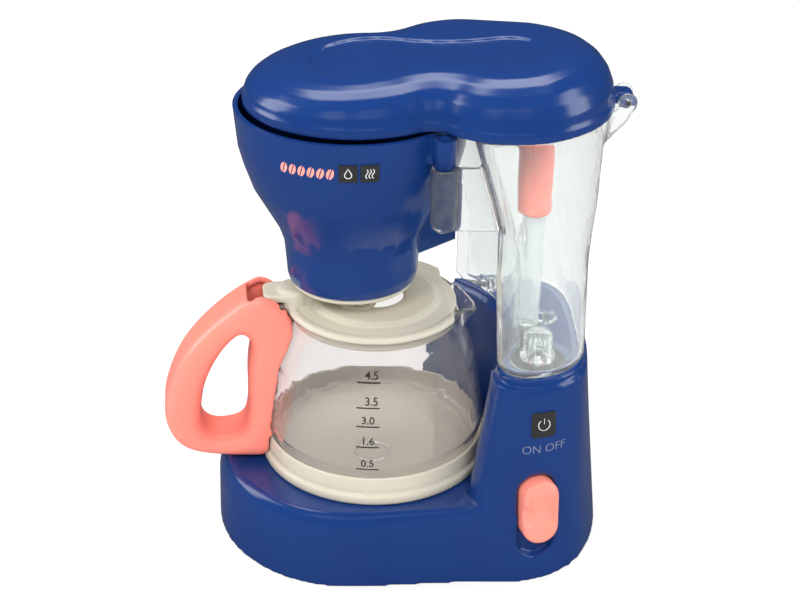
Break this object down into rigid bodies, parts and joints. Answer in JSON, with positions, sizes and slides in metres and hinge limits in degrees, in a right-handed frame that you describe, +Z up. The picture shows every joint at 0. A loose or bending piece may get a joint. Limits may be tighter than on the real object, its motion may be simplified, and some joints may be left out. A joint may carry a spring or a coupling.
{
  "type": "toy coffee maker",
  "caption": "Toy drip coffee maker with a blue body, clear water tank, hinged lid, swing-out filter funnel and a jug with a salmon handle and sliding switch.",
  "frame": {"origin": "Middle of the underside, on the surface that the toy stands on.", "axes": "X runs to the right, from the jug to the column with the hinge; Y runs to the back; Z runs up."},
  "size_m": [0.1943, 0.12, 0.2198],
  "materials": {
    "blue_plastic": "glossy moulded plastic, deep blue",
    "clear_plastic": "clear glossy plastic",
    "salmon_plastic": "glossy moulded plastic, salmon",
    "cream_plastic": "satin moulded plastic, cream",
    "dark_label": "printed plastic tile",
    "black_plastic": "moulded plastic, black",
    "white_plastic": "moulded plastic, white",
    "seal_rubber": "soft black seal",
    "screw_steel": "plated steel",
    "spring_metal": "plated sheet steel",
    "cell_sleeve": "plastic sleeve of a dry cell"
  },
  "bodies": {
    "housing": {"base_shell": "blue_plastic", "base_plate": "blue_plastic", "battery_door": "blue_plastic", "battery_cell_1": "cell_sleeve", "battery_cell_2": "cell_sleeve", "battery_cell_3": "cell_sleeve", "contacts_front": "spring_metal", "contacts_back": "spring_metal", "base_screws": "screw_steel", "water_tank": "clear_plastic", "intake_cap": "clear_plastic", "riser_tube": "clear_plastic", "outlet_pipe": "salmon_plastic", "lid_hinge_pin": "screw_steel", "switch_body": "black_plastic", "switch_screws": "screw_steel", "column_label": "dark_label", "pump_housing": "white_plastic", "pump_seal": "seal_rubber", "tank_gasket": "seal_rubber", "motor_can": "spring_metal", "motor_cap": "white_plastic", "motor_cradle": "white_plastic", "cradle_screws": "screw_steel", "tank_screws": "screw_steel"},
    "rotor": {"motor_shaft": "screw_steel", "motor_armature": "spring_metal", "impeller": "white_plastic"},
    "lid": {"top_lid": "blue_plastic"},
    "funnel": {"filter_funnel": "blue_plastic", "drip_insert": "cream_plastic", "funnel_label_left": "dark_label", "funnel_label_right": "dark_label"},
    "jug": {"carafe_glass": "clear_plastic", "carafe_base": "cream_plastic", "carafe_handle": "salmon_plastic", "handle_screws": "screw_steel", "carafe_lid_pin": "screw_steel"},
    "jug_lid": {"carafe_lid": "cream_plastic"},
    "switch": {"switch_knob": "salmon_plastic", "switch_carrier": "black_plastic", "switch_lever": "black_plastic"}
  },
  "joints": [
    {"name": "rotor_turn", "type": "hinge", "parent": "housing", "child": "rotor", "pos_m": [0.0518, -0.0275, 0.07], "axis": [0, 0, 1], "continuous": true},
    {"name": "lid_open", "type": "hinge", "parent": "housing", "child": "lid", "pos_m": [0.0839, 0, 0.1982], "axis": [0, 1, 0], "range_deg": [0, 100]},
    {"name": "funnel_swing", "type": "hinge", "parent": "housing", "child": "funnel", "pos_m": [0.0109, -0.0389, 0.18], "axis": [0, 0, 1], "range_deg": [0, 100]},
    {"name": "jug_slide", "type": "slide", "parent": "housing", "child": "jug", "axis": [-1, 0, 0], "range_m": [0, 0.13]},
    {"name": "jug_lid_lift", "type": "hinge", "parent": "jug", "child": "jug_lid", "pos_m": [-0.05524, -0.00458, 0.1094], "axis": [0.1132, -0.9936, 0], "range_deg": [0, 1.2]},
    {"name": "switch_slide", "type": "slide", "parent": "housing", "child": "switch", "axis": [0.025, -0.0831, -0.9962], "range_m": [0, 0.0085]}
  ]
}
